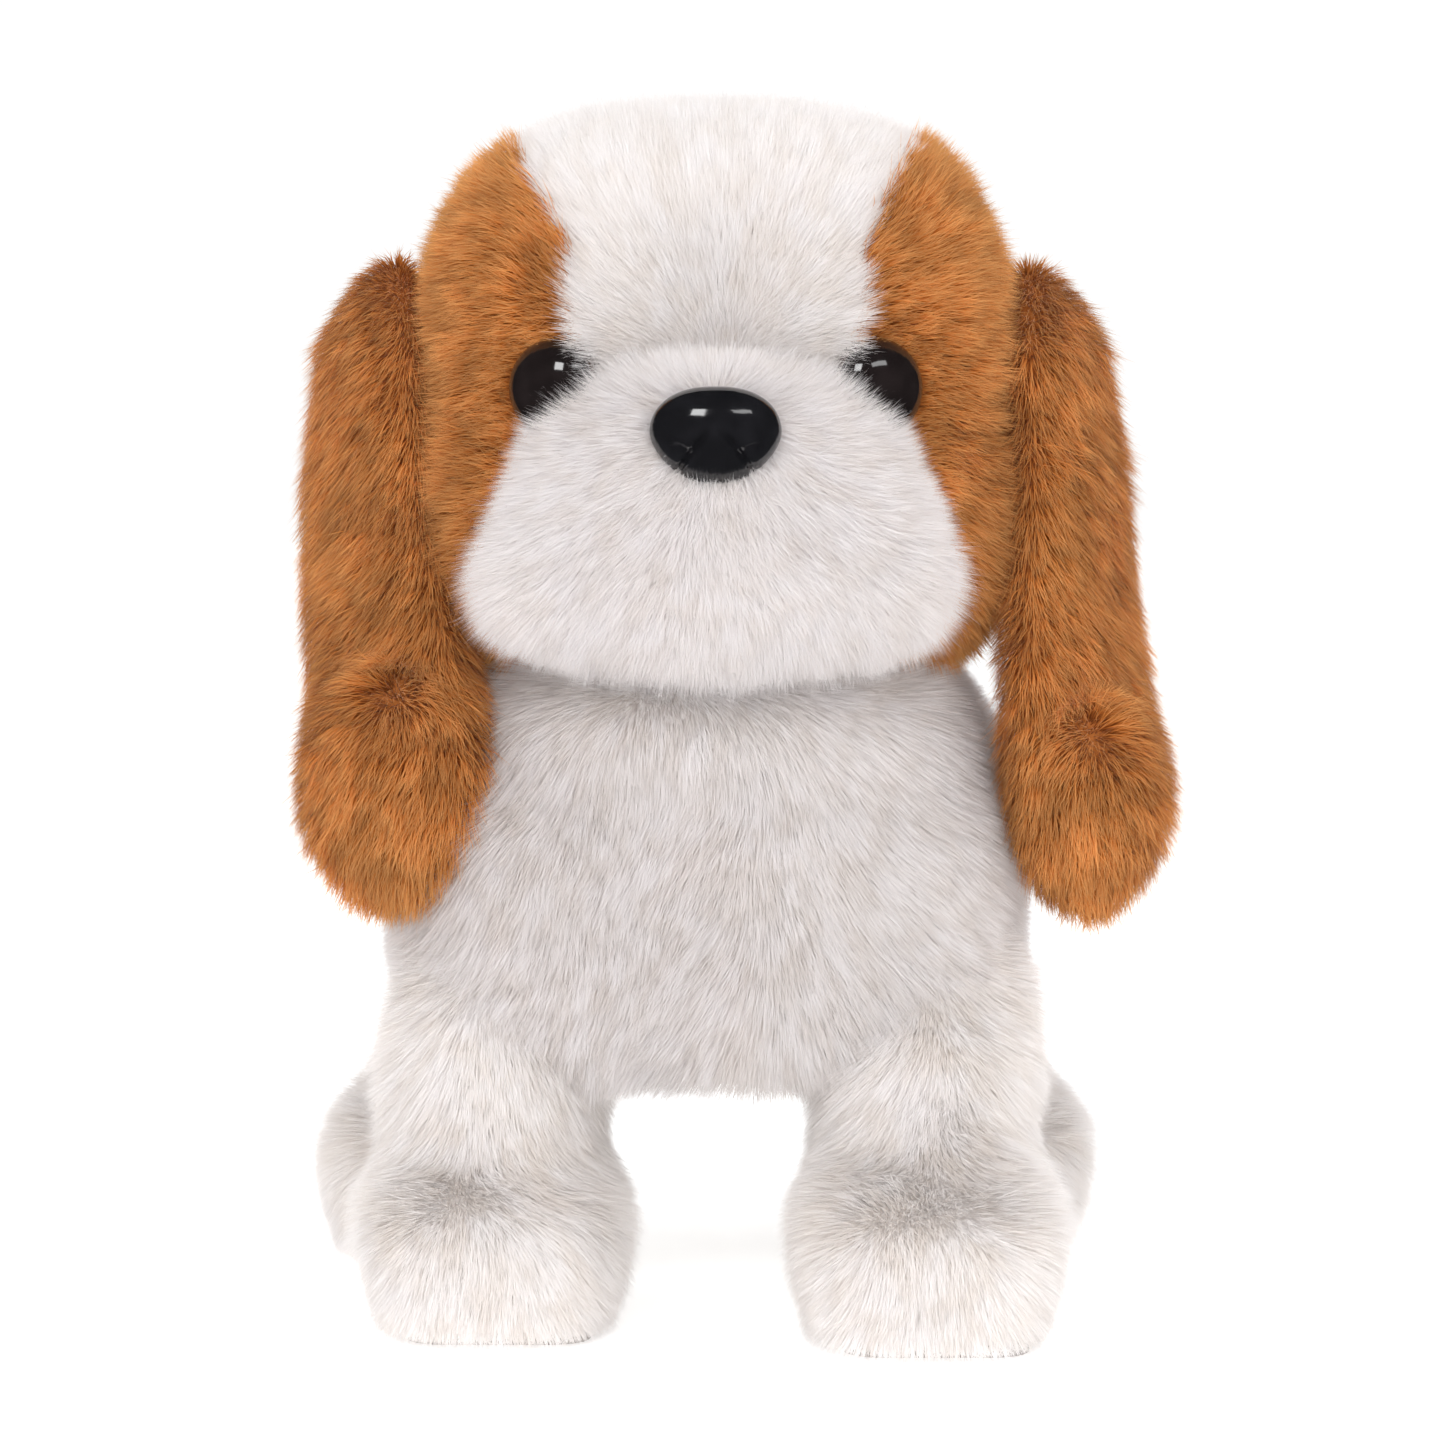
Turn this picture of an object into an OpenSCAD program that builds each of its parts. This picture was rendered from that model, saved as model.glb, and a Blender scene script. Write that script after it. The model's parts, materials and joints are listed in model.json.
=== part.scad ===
// Interactive plush puppy: a battery-powered walking toy with a nodding head,
// hanging ears, a wagging tail and four swinging legs around a moulded case.
// Frame: +Z up, the puppy looks along -Y, its left side is +X, floor at Z = 0.

/* [Proportions] */
// Top of the stuffed head above the floor
head_top = 186; // [184:1:188]
// Half width of the stuffed head
head_half_w = 42; // [40:0.5:42.5]
// Half width of the stuffed torso
torso_half_w = 44; // [42:0.5:44.5]
// Lowest point of the hanging ears above the floor
ear_bottom = 63; // [62:1:72]
// Diameter of each eye
eye_d = 14; // [12:0.5:15]
// Width of the nose
nose_w = 19; // [17:0.5:20]

/* [Drive] */
// Distance between the front and the rear leg axles
wheelbase = 79; // [78:0.5:80]
// Height of both leg axles above the floor
axle_z = 58; // [58:0.5:59]
// How far the left fore foot stands ahead of the right one
stride = 10; // [6:1:10]
// Tooth module of the gear train
gear_m = 0.5; // [0.5:0.1:0.5]
// Teeth of every small pinion
pinion_teeth = 10; // [10:1:10]
// Teeth of every large gear
wheel_teeth = 36; // [36:1:36]

/* [Hidden] */

$fn = 48;
SOFT = 26;          // facets round a stuffed form
SLACK = 0.3;        // air between a stuffed form and what it holds
RUN = 0.05;         // radial clearance of a shaft in its bearing
EPS = 0.01;

// case
case_half_w = 25;
case_front = -53;
case_back = 41;
case_bottom = 38.5;
case_split = 63;
case_top = 87.5;
wall = 1.8;
axle_r = 2;
front_axle_y = -46;
rear_axle_y = front_axle_y + wheelbase;

// batteries, AA size
cell_r = 7.25;
cell_len = 50.5;
cell_x = 7.8;
cell_y = -8;
cell_z = 49;
door_w = 38;
door_front = -38;
door_back = 24;
door_t = 1.8;

// gear train: every mesh has the same centre distance
centre_d = gear_m * (pinion_teeth + wheel_teeth) / 2;
crank_y = -6;
crank_z = 68;
angle_2 = 40;       // from the crank wheel up to compound gear 2
angle_1 = -20;      // from compound gear 2 down to compound gear 1
angle_m = 20;       // from compound gear 1 up to the motor
gear2_y = crank_y + centre_d * cos(angle_2);
gear2_z = crank_z + centre_d * sin(angle_2);
gear1_y = gear2_y + centre_d * cos(angle_1);
gear1_z = gear2_z + centre_d * sin(angle_1);
motor_y = gear1_y + centre_d * cos(angle_m);
motor_z = gear1_z + centre_d * sin(angle_m);
plate_in_x = 5;
plate_out_x = 20.5;
plate_t = 1.5;
arbor_r = 1;

// neck, head and tail
neck_y = -24;
neck_z = 96;
skull_y = -28;
skull_r = 24;
skull_bottom = 109;
skull_top = 170;
skull_wall = 1.8;
eye_x = 23.5;
eye_y = -62;
eye_z = 144;
eye_yaw = 22;
nose_y = -84;
nose_z = 137.5;
ear_hinge_x = 45;
ear_hinge_y = -26;
ear_hinge_z = 163;
tail_pin_y = 48;
tail_z = 78;

// legs: side is +1 for the puppy's left, fore is true for a foreleg
link_x = case_half_w + 1.5;
link_t = 5;
hip_r = 17;
recess_r = 21;
sole_t = 2.5;
foot_h = 26;
function foot_x(fore) = fore ? 33 : 40;
function foot_half_w(fore) = fore ? 17 : 16;
function hip_y(fore) = fore ? front_axle_y : rear_axle_y;
// a left foreleg and a right hind leg stand forward, the other two stand back
function step_y(side, fore) = (fore ? -side : side) * stride / 2;

// ---------- small shapes ----------
module x_cyl(r, x0, x1, y, z) translate([x0, y, z]) rotate([0, 90, 0]) cylinder(h = x1 - x0, r = r);
module y_cyl(r, y0, y1, x, z) translate([x, y1, z]) rotate([90, 0, 0]) cylinder(h = y1 - y0, r = r);
module box(x0, x1, y0, y1, z0, z1) translate([x0, y0, z0]) cube([x1 - x0, y1 - y0, z1 - z0]);
module ball(x, y, z, r) translate([x, y, z]) sphere(r = r, $fn = SOFT);
module sided(side) mirror([side < 0 ? 1 : 0, 0, 0]) children();

// ---------- involute gears ----------
PRESSURE = 20;
BACKLASH = 0.12;    // taken off the tooth's width at the pitch circle
FLANK_STEPS = 4;
function inv(rb, r) = r <= rb ? 0 : (sqrt(r * r - rb * rb) / rb) * 180 / PI - acos(rb / r);
// half of the tooth's angle at radius r
function half_tooth(teeth, r) =
  let (rp = gear_m * teeth / 2, rb = rp * cos(PRESSURE))
  (90 / teeth) - (BACKLASH / 2 / rp) * 180 / PI + inv(rb, rp) - inv(rb, r);
function flank_r(root, tip, i) = root + (tip - root) * i / FLANK_STEPS;
module gear_2d(teeth, addendum, dedendum, phase) {
  rp = gear_m * teeth / 2;
  root = rp - dedendum;
  tip = rp + addendum;
  polygon([for (t = [0 : teeth - 1])
    let (mid = phase + t * 360 / teeth)
    for (i = [0 : 2 * FLANK_STEPS + 1])
      let (up = i <= FLANK_STEPS,
           r = flank_r(root, tip, up ? i : 2 * FLANK_STEPS + 1 - i),
           a = mid + (up ? -1 : 1) * half_tooth(teeth, r))
      [r * cos(a), r * sin(a)]]);
}
// extruded along X, with angles measured from +Y towards +Z
module gear_x(teeth, addendum, dedendum, phase, x0, x1, y, z)
  translate([x0, y, z]) multmatrix([[0, 0, 1, 0], [1, 0, 0, 0], [0, 1, 0, 0], [0, 0, 0, 1]])
    linear_extrude(height = x1 - x0) gear_2d(teeth, addendum, dedendum, phase);
module wheel(phase, x0, x1, y, z) gear_x(wheel_teeth, 0.6 * gear_m, 1.35 * gear_m, phase, x0, x1, y, z);
module pinion(phase, x0, x1, y, z) gear_x(pinion_teeth, 0.96 * gear_m, 0.95 * gear_m, phase, x0, x1, y, z);
// a pinion's phase when its gap faces a wheel tooth: the wheel stands at angle "line" from the pinion
function mesh_phase(line, wheel_phase) =
  let (offset = (line + 180 - wheel_phase) * wheel_teeth / 360)
  line - (0.5 + offset) * 360 / pinion_teeth;

// ---------- case and its contents ----------
module case_screw_places() for (x = [-21.5, 21.5], y = [-38, 37.4]) translate([x, y, 0]) children();
module axle_bores() for (y = [front_axle_y, rear_axle_y])
  x_cyl(axle_r, -case_half_w - 1, case_half_w + 1, y, axle_z);

module case_upper() color("gainsboro") difference() {
  union() {
    difference() {
      box(-case_half_w, case_half_w, case_front, case_back, case_split, case_top);
      box(-case_half_w + wall, case_half_w - wall, case_front + wall, case_back - wall,
        case_split - 1, case_top - wall);
    }
    // neck bracket
    for (s = [-1, 1]) {
      box(s * 7 - 2, s * 7 + 2, neck_y - 6, neck_y + 6, case_top - EPS, neck_z);
      x_cyl(6, s * 7 - 2, s * 7 + 2, neck_y, neck_z);
    }
    // tail bracket behind the rear wall
    for (z = [tail_z - 5, tail_z + 2]) difference() {
      box(-5, 5, case_back - EPS, tail_pin_y + 5, z, z + 3);
      translate([0, tail_pin_y, z - 1]) cylinder(h = 5, r = 1.5);
    }
    // posts that take the case screws
    case_screw_places() translate([0, 0, case_split]) cylinder(h = case_top - case_split - wall + EPS, r = 2.6);
  }
  x_cyl(1.5, -12, 12, neck_y, neck_z);
  case_screw_places() translate([0, 0, case_split - 1]) cylinder(h = 9, r = 1.25);
  // bearings of the crankshaft
  x_cyl(2 + RUN, -case_half_w - 1, case_half_w + 1, crank_y, crank_z);
  // sound holes in front of the speaker
  for (x = [-8, 0, 8], z = [68, 74]) y_cyl(1.2, case_front - 1, case_front + wall + 1, x, z);
}
module case_lower() color("silver") difference() {
  union() {
    difference() {
      box(-case_half_w, case_half_w, case_front, case_back, case_bottom, case_split - 0.05);
      box(-case_half_w + wall, case_half_w - wall, case_front + wall, case_back - wall,
        case_bottom + wall, case_split + 1);
    }
    // battery compartment walls
    difference() {
      box(-door_w / 2 + 1.2, door_w / 2 - 1.2, door_front + 2, door_back - 2, case_bottom + EPS, 58);
      box(-door_w / 2 + 3, door_w / 2 - 3, door_front + 3.5, door_back - 3.5, case_bottom - 1, 56.8);
    }
    case_screw_places() translate([0, 0, case_bottom + EPS]) cylinder(h = case_split - case_bottom - 0.1, r = 2.6);
    // seats for the axles
    for (s = [-1, 1], y = [front_axle_y, rear_axle_y])
      x_cyl(4.5, s > 0 ? case_half_w - 2.9 : -case_half_w + EPS, s > 0 ? case_half_w - EPS : -case_half_w + 2.9, y, axle_z);
  }
  // opening under the battery door, with its rebate
  box(-door_w / 2 + 3, door_w / 2 - 3, door_front + 3.5, door_back - 3.5, case_bottom - 1, case_bottom + 4);
  box(-door_w / 2 - 0.2, door_w / 2 + 0.2, door_front - 0.2, door_back + 0.2, case_bottom - 1, case_bottom + door_t - 0.3);
  case_screw_places() translate([0, 0, case_bottom - 1]) cylinder(h = 30, r = 1.6);
  case_screw_places() translate([0, 0, case_bottom - 1]) cylinder(h = 7, r = 3);
  axle_bores();
  // slot of the power switch
  box(-5, 5, 28.5, 33.5, case_bottom - 1, case_bottom + wall + 1);
  // screw boss of the battery door
  translate([0, door_back - 3, case_bottom - 1]) cylinder(h = 12, r = 1.1);
}

module screw(head_r, shaft_r, len) {
  difference() {
    cylinder(h = 2, r = head_r);
    for (a = [0, 90]) rotate(a) translate([-head_r * 0.6, -0.4, -EPS]) cube([head_r * 1.2, 0.8, 1]);
  }
  translate([0, 0, 2 - EPS]) cylinder(h = len, r = shaft_r);
}
module case_screws() color("dimgray") case_screw_places()
  translate([0, 0, case_bottom + 4]) screw(2.7, 1.2, 22);

module battery_door() color("silver") difference() {
  union() {
    box(-door_w / 2, door_w / 2, door_front, door_back, case_bottom, case_bottom + door_t - 0.6);
    // raised finger grips
    for (i = [0 : 4]) box(-6, 6, door_front + 5 + 2 * i, door_front + 6 + 2 * i, case_bottom - 0.5, case_bottom + EPS);
  }
  translate([0, door_back - 3, case_bottom - 1]) cylinder(h = 5, r = 1.4);
}
module battery_door_screw() color("dimgray")
  translate([0, door_back - 3, case_bottom - 1.8]) difference() {
    union() {
      cylinder(h = 1.7, r = 2.4);
      cylinder(h = 8, r = 1);
    }
    for (a = [0, 90]) rotate(a) translate([-1.5, -0.35, -EPS]) cube([3, 0.7, 0.8]);
  }

module battery(x) color("darkgreen") union() {
  y_cyl(cell_r, cell_y - cell_len / 2 + 1, cell_y + cell_len / 2, x, cell_z);
  y_cyl(2.7, cell_y - cell_len / 2, cell_y - cell_len / 2 + 1 + EPS, x, cell_z);
}
module battery_left() battery(cell_x);
module battery_right() translate([0, 2 * cell_y, 0]) mirror([0, 1, 0]) battery(-cell_x);
module contact_plate(x, y) {
  box(x - 5, x + 5, y, y + 0.4, cell_z - 5, cell_z + 5);
}
module battery_plate_contact() color("gold") {
  y0 = door_front + 3.6;
  contact_plate(cell_x, y0);
  contact_plate(-cell_x, y0);
  box(-cell_x, cell_x, y0, y0 + 0.4, cell_z - 1, cell_z + 1);
}
module battery_spring_contact() color("gold") {
  y0 = door_back - 4;
  for (s = [-1, 1]) {
    contact_plate(s * cell_x, y0);
    for (i = [0 : 1]) translate([s * cell_x, y0 - 0.9 * i - 0.3, cell_z]) rotate([90, 0, 0])
      rotate_extrude() translate([3.6 - 0.8 * i, 0]) circle(r = 0.4, $fn = 16);
  }
}

module circuit_board() color("seagreen") {
  back = -40.4;
  box(-17, 17, back - 1.6, back, 65, 84);
  // controller, capacitor, connector and resonator
  box(-12, -3, back - EPS, back + 2, 69, 78);
  y_cyl(2.5, back - EPS, back + 6, 12, 78);
  box(5, 14, back - EPS, back + 4, 67, 71);
  box(1, 4, back - EPS, back + 3, 73, 80);
}
module speaker() color("dimgray") {
  y0 = case_front + wall + 0.05;
  translate([0, y0, 71]) rotate([-90, 0, 0]) rotate_extrude()
    polygon([[0, 1.5], [5, 1], [8, 0], [9, 0], [9, 2], [6.5, 4], [6.5, 6.5], [0, 6.5]]);
}
module microphone() color("black") y_cyl(3, case_front + wall + 0.05, case_front + wall + 5, 17, 71);

module switch_body() color("black") difference() {
  box(-8, 8, 28, 34, case_bottom + wall + 0.05, case_bottom + wall + 5);
  box(-5, 5, 29.5, 32.5, case_bottom, case_bottom + wall + 3);
}
module switch_knob() color("dimgray") union() {
  box(-4, 0, 29.8, 32.2, case_bottom - 0.6, case_bottom + wall + 2.8);
  for (i = [0 : 2]) box(-3.6 + 1.3 * i, -3 + 1.3 * i, 29.8, 32.2, case_bottom - 1, case_bottom - 0.59);
}

// ---------- motor and gear train ----------
module gear_places() {
  for (p = [[gear1_y, gear1_z], [gear2_y, gear2_z]]) translate([0, p[0], p[1]]) children();
}
module plate_outline(x0) difference() {
  box(x0, x0 + plate_t, -19, 33, 60.5, 85.5);
  x_cyl(2 + RUN, x0 - 1, x0 + plate_t + 1, crank_y, crank_z);
  gear_places() x_cyl(arbor_r, x0 - 1, x0 + plate_t + 1, 0, 0);
}
module gearbox_plate_inner() color("ivory") difference() {
  union() {
    plate_outline(plate_in_x);
    // spacers that hold the outer plate
    for (p = [[-16.8, 62.6], [-16.8, 83], [31, 67], [25, 62.6]])
      x_cyl(1.8, plate_in_x + EPS, plate_out_x - 0.02, p[0], p[1]);
  }
  x_cyl(3.1, plate_in_x - 1, plate_in_x + plate_t + 1, motor_y, motor_z);
}
module gearbox_plate_outer() color("ivory") plate_outline(plate_out_x);
module gear_arbors() color("silver") gear_places()
  x_cyl(arbor_r, plate_in_x - 1, plate_out_x + plate_t + 0.5, 0, 0);

module motor() color("silver") difference() {
  union() {
    // can with two flats
    intersection() {
      x_cyl(9.6, -20, plate_in_x - 0.1, motor_y, motor_z);
      box(-21, plate_in_x, motor_y - 9.6, motor_y + 9.6, motor_z - 7.5, motor_z + 7.5);
      box(-21, plate_in_x, motor_y - 8.8, motor_y + 8.8, 60, 90);
    }
    x_cyl(3, plate_in_x - 0.2, plate_in_x + 1, motor_y, motor_z);
    x_cyl(3, -21.5, -19.9, motor_y, motor_z);
  }
  x_cyl(1 + RUN, -17, plate_in_x + 4, motor_y, motor_z);
}

wheel_phase_crank = 0;
phase_pinion_2 = mesh_phase(angle_2 + 180, wheel_phase_crank);
wheel_phase_2 = 0;
phase_pinion_1 = mesh_phase(angle_1 + 180, wheel_phase_2);
wheel_phase_1 = 0;
phase_pinion_m = mesh_phase(angle_m + 180, wheel_phase_1);
module compound(phase_small, phase_big, x0, y, z) difference() {
  union() {
    wheel(phase_big, x0, x0 + 3.5, y, z);
    pinion(phase_small, x0 + 3.5 - EPS, x0 + 8, y, z);
  }
  x_cyl(arbor_r + RUN, x0 - 1, x0 + 9, y, z);
}
module motor_pinion() color("white") union() {
  pinion(phase_pinion_m, plate_in_x + 2.3, plate_in_x + 6.3, motor_y, motor_z);
  x_cyl(1, -16, plate_in_x + 6.3, motor_y, motor_z);
}
module compound_gear_1() color("white") compound(phase_pinion_1, wheel_phase_1, 7.5, gear1_y, gear1_z);
module compound_gear_2() color("white") compound(phase_pinion_2, wheel_phase_2, 11.5, gear2_y, gear2_z);

crank_throw = 4.5;
module crankshaft() color("white") union() {
  x_cyl(2, -case_half_w - 1, case_half_w + 1, crank_y, crank_z);
  wheel(wheel_phase_crank, 15.7, 19.6, crank_y, crank_z);
  // a crank disc and its pin on each side, half a turn apart
  for (s = [-1, 1]) {
    x_cyl(7, s > 0 ? case_half_w + 0.4 : -case_half_w - 1.4, s > 0 ? case_half_w + 1.4 : -case_half_w - 0.4,
      crank_y, crank_z);
    x_cyl(1.2, s > 0 ? case_half_w + 1.3 : -case_half_w - 2.6, s > 0 ? case_half_w + 2.6 : -case_half_w - 1.3,
      crank_y + s * crank_throw, crank_z);
  }
}

// ---------- axles and legs ----------
axle_end = link_x + link_t + 2.5;
module axle(y) color("silver") x_cyl(axle_r, -axle_end, axle_end, y, axle_z);
module front_axle() axle(front_axle_y);
module rear_axle() axle(rear_axle_y);
module axle_caps() color("black") for (s = [-1, 1], y = [front_axle_y, rear_axle_y]) sided(s) difference() {
  x_cyl(4, link_x + link_t + 0.2, axle_end + 1, y, axle_z);
  x_cyl(axle_r, link_x + link_t - 1, axle_end, y, axle_z);
}

// everything of a leg is drawn on the left and mirrored for the right
module leg_link_shape(fore, step, grow) {
  y = hip_y(fore);
  x0 = link_x - grow;
  x1 = link_x + link_t + grow;
  x_cyl(5 + grow, x0, x1, y, axle_z);
  // shank from the boss down to the foot plate
  translate([x0, 0, 0]) rotate([90, 0, 90]) linear_extrude(height = x1 - x0)
    polygon([[y - 3.5 - grow, axle_z], [y + 3.5 + grow, axle_z],
      [y + step - 3 + 3.5 + grow, sole_t + 0.02], [y + step - 3 - 3.5 - grow, sole_t + 0.02]]);
  // foot plate
  foot = foot_x(fore);
  box(min(foot - 9, x0) - grow, foot + 9 + grow, y + step - 18 - grow, y + step + 8 + grow,
    sole_t + 0.02, sole_t + 3 + grow);
}
module leg_link(side, fore) color("whitesmoke") sided(side) difference() {
  leg_link_shape(fore, step_y(side, fore), 0);
  x_cyl(axle_r + RUN, link_x - 1, link_x + link_t + 1, hip_y(fore), axle_z);
}
module foot_ball(fore, y, dx, dy, z, r) ball(foot_x(fore) + dx, y + dy, z, r);
module leg_plush(side, fore) color("snow") sided(side) difference() {
  y = hip_y(fore) + step_y(side, fore) - 6;
  w = foot_half_w(fore);
  intersection() {
    union() {
      // hip, shank and paw
      hull() {
        x_cyl(hip_r - 1, link_x - 0.2, torso_half_w + 2, hip_y(fore), axle_z, $fn = SOFT);
        x_cyl(hip_r - 5, link_x - 0.2, torso_half_w + 6, hip_y(fore), axle_z - 4, $fn = SOFT);
        for (dy = [-6, 8]) ball(max(foot_x(fore), link_x + 11.8), y + dy + 2, 26, 12);
      }
      hull() {
        for (s = [-1, 1]) {
          foot_ball(fore, y, s * (w - 10), -9, 10, 10);
          foot_ball(fore, y, s * (w - 9), 10, 9, 9);
          foot_ball(fore, y, s * (w - 10), -5, foot_h - 10, 8);
        }
      }
    }
    box(0, 100, -100, 100, sole_t + 0.02, 100);
  }
  leg_link_shape(fore, step_y(side, fore), 0.2);
  x_cyl(5, link_x - 1, axle_end + 1.5, hip_y(fore), axle_z);
}
module sole(side, fore) color("tan") sided(side) {
  y = hip_y(fore) + step_y(side, fore) - 6;
  hull() for (s = [-1, 1], e = [-1, 1])
    translate([foot_x(fore) + s * 8, y + e * 9, 0]) cylinder(h = sole_t, r = 6, $fn = 32);
}
module leg_link_front_left() leg_link(1, true);
module leg_link_front_right() leg_link(-1, true);
module leg_link_hind_left() leg_link(1, false);
module leg_link_hind_right() leg_link(-1, false);
module leg_plush_front_left() leg_plush(1, true);
module leg_plush_front_right() leg_plush(-1, true);
module leg_plush_hind_left() leg_plush(1, false);
module leg_plush_hind_right() leg_plush(-1, false);
module sole_front_left() sole(1, true);
module sole_front_right() sole(-1, true);
module sole_hind_left() sole(1, false);
module sole_hind_right() sole(-1, false);

// ---------- torso ----------
module torso_plush() color("snow") difference() {
  hull() {
    for (s = [-1, 1]) {
      ball(s * (torso_half_w - 20), -38, 72, 20);
      ball(s * (torso_half_w - 18), -10, 74, 18);
      ball(s * (torso_half_w - 19), 32, 74, 19);
      ball(s * (torso_half_w - 22), 36, 66, 20);
      ball(s * 16, -44, 58, 14);
      ball(s * 12, 44, 60, 13);
    }
    ball(0, -20, 76, 20);
    ball(0, 38, 74, 22);
  }
  box(-case_half_w - SLACK, case_half_w + SLACK, case_front - SLACK, case_back + SLACK, 0, case_top + SLACK);
  // flat underside, higher beside the case where the legs swing
  box(-100, 100, -100, 100, 0, 44);
  for (s = [-1, 1]) sided(s) {
    box(case_half_w - 1, 100, -100, 100, 0, 52);
    for (y = [front_axle_y, rear_axle_y]) x_cyl(recess_r, case_half_w - 1, 100, y, axle_z, $fn = SOFT);
    // room for the crank disc
    x_cyl(8, case_half_w - 1, case_half_w + 3, crank_y, crank_z);
  }
  // neck and tail openings
  translate([0, neck_y, case_top - 1]) cylinder(h = 30, r = 16);
  box(-7, 7, case_back - 1, tail_pin_y + 7, tail_z - 7, tail_z + 7);
  y_cyl(8, tail_pin_y, 70, 0, tail_z);
}

// ---------- head ----------
module neck_pin() color("silver") x_cyl(1.5, -9.5, 9.5, neck_y, neck_z);
module neck_lever() color("whitesmoke") difference() {
  union() {
    x_cyl(5, -4.8, 4.8, neck_y, neck_z);
    box(-4.8, 4.8, neck_y - 4, neck_y + 4, neck_z, skull_bottom - 2.02);
    translate([0, skull_y + 2, skull_bottom - 3]) cylinder(h = 2.98, r = 12);
  }
  x_cyl(1.5 + RUN, -6, 6, neck_y, neck_z);
}
module skull_profile(grow) {
  r = skull_r + grow;
  z0 = skull_bottom - grow;
  z1 = skull_top + grow;
  polygon(concat([[0, z0], [r - 6, z0], [r, z0 + 8]],
    [for (a = [0 : 15 : 90]) [r * cos(a), z1 - r + r * sin(a)]]));
}
module skull_solid(grow) translate([0, skull_y, 0]) rotate_extrude() skull_profile(grow);
module skull_half(front) difference() {
  intersection() {
    skull_solid(0);
    translate([-50, front ? skull_y - 60.02 : skull_y + 0.02, 0]) cube([100, 60, 300]);
  }
  skull_solid(-skull_wall);
}
module skull_front() color("whitesmoke") skull_half(true);
module skull_rear() color("gainsboro") skull_half(false);

module head_form() hull() {
  w = head_half_w;
  for (s = [-1, 1]) {
    ball(s * (w - 22), -34, head_top - 26, 22);
    ball(s * (w - 20), -43, 148, 20);
    ball(s * (w - 19), -42, 126, 18);
    ball(s * (w - 20), -12, 150, 20);
    ball(s * (w - 22), -16, 124, 19);
  }
  ball(0, -34, head_top - 24, 24);
  ball(0, -18, head_top - 28, 24);
}
module muzzle_form(grow) hull() for (s = [-1, 1]) {
  ball(s * 8, -68, 135, 14 + grow);
  ball(s * 19, -62, 121, 15 + grow);
  ball(s * 15, -64, 115, 15 + grow);
  ball(s * 6, -68, 118, 16 + grow);
}
module head_hollows() {
  skull_solid(0.1);
  translate([0, skull_y + 2, 90]) cylinder(h = skull_bottom - 88, r = 12.3);
  for (s = [-1, 1]) eye_place(s) eye_room();
}
// halves of the head meet along planes beside the white blaze
blaze_half_w = 24;
module head_panel(x0, x1) difference() {
  intersection() {
    head_form();
    box(x0, x1, -120, 60, 104, 200);
  }
  head_hollows();
  muzzle_form(0.1);
}
module head_blaze_plush() color("white") head_panel(-blaze_half_w + 0.05, blaze_half_w - 0.05);
module head_side_plush_left() color("chocolate") head_panel(blaze_half_w, 100);
module head_side_plush_right() color("chocolate") head_panel(-100, -blaze_half_w);
module muzzle_plush() color("white") difference() {
  muzzle_form(0);
  skull_solid(0.1);
  y_cyl(1.9, nose_y - 20, nose_y + 30, 0, nose_z);
  translate([0, nose_y, nose_z]) nose_shell(0.1);
  y_cyl(6.2, nose_y + 7.8, nose_y + 10.2, 0, nose_z);
  for (s = [-1, 1]) eye_place(s) eye_room();
}

// an eye looks along its own -Y: a domed cap on a stem, held by a washer behind the fabric
module eye_place(s) translate([s * eye_x, eye_y, eye_z]) rotate([0, 0, s * eye_yaw]) children();
dome_profile = [for (a = [0 : 10 : 90]) [eye_d / 2 * cos(a), 5.5 * sin(a)]];
module eye_dome() rotate([90, 0, 0]) rotate_extrude()
  polygon(concat([[0, -0.8], [eye_d / 2 + 0.6, -0.8], [eye_d / 2 + 0.6, 0]], dome_profile));
module eye() color([0.05, 0.03, 0.02]) union() {
  eye_dome();
  rotate([-90, 0, 0]) cylinder(h = 10, r = 2);
}
module eye_room() {
  rotate([90, 0, 0]) translate([0, 0, -1]) cylinder(h = 20, r = eye_d / 2 + 0.8);
  rotate([-90, 0, 0]) cylinder(h = 10.2, r = 2.1);
  rotate([-90, 0, 0]) translate([0, 0, 4.9]) cylinder(h = 1.7, r = 6.2);
}
module eye_left() eye_place(1) eye();
module eye_right() eye_place(-1) eye();
module eye_washers() color("white") for (s = [-1, 1]) eye_place(s)
  rotate([-90, 0, 0]) translate([0, 0, 5]) difference() {
    cylinder(h = 1.5, r = 6);
    translate([0, 0, -1]) cylinder(h = 4, r = 2);
  }

// a wide rounded bar over a smaller lower lobe
module nose_shell(grow) {
  bar = nose_w / 2 - 5.5;
  for (s = [-1, 1]) translate([s * bar, 0, 1]) sphere(r = 5.5 + grow);
  x_cyl(5.5 + grow, -bar, bar, 0, 1);
  translate([0, 0, -2.2]) sphere(r = 5 + grow);
}
module nose() color([0.03, 0.03, 0.03]) union() {
  translate([0, nose_y, nose_z]) nose_shell(0);
  y_cyl(1.8, nose_y, nose_y + 12, 0, nose_z);
}
module nose_washer() color("white") difference() {
  y_cyl(6, nose_y + 8, nose_y + 10, 0, nose_z);
  y_cyl(1.8, nose_y, nose_y + 20, 0, nose_z);
}

module ear(side) color("sienna") sided(side) hull() {
  ball(ear_hinge_x + 6, ear_hinge_y, ear_hinge_z - 2, 7);
  for (e = [-1, 1]) {
    ball(ear_hinge_x + 10, ear_hinge_y + e * 8, 132, 8.5);
    ball(ear_hinge_x + 12.5, ear_hinge_y + e * 10, 96, 9.5);
    ball(ear_hinge_x + 13, ear_hinge_y + e * 8, ear_bottom + 10, 10);
  }
}
module ear_left() ear(1);
module ear_right() ear(-1);

// ---------- tail ----------
module tail_pin() color("silver") translate([0, tail_pin_y, tail_z - 5]) cylinder(h = 10, r = 1.5);
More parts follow.
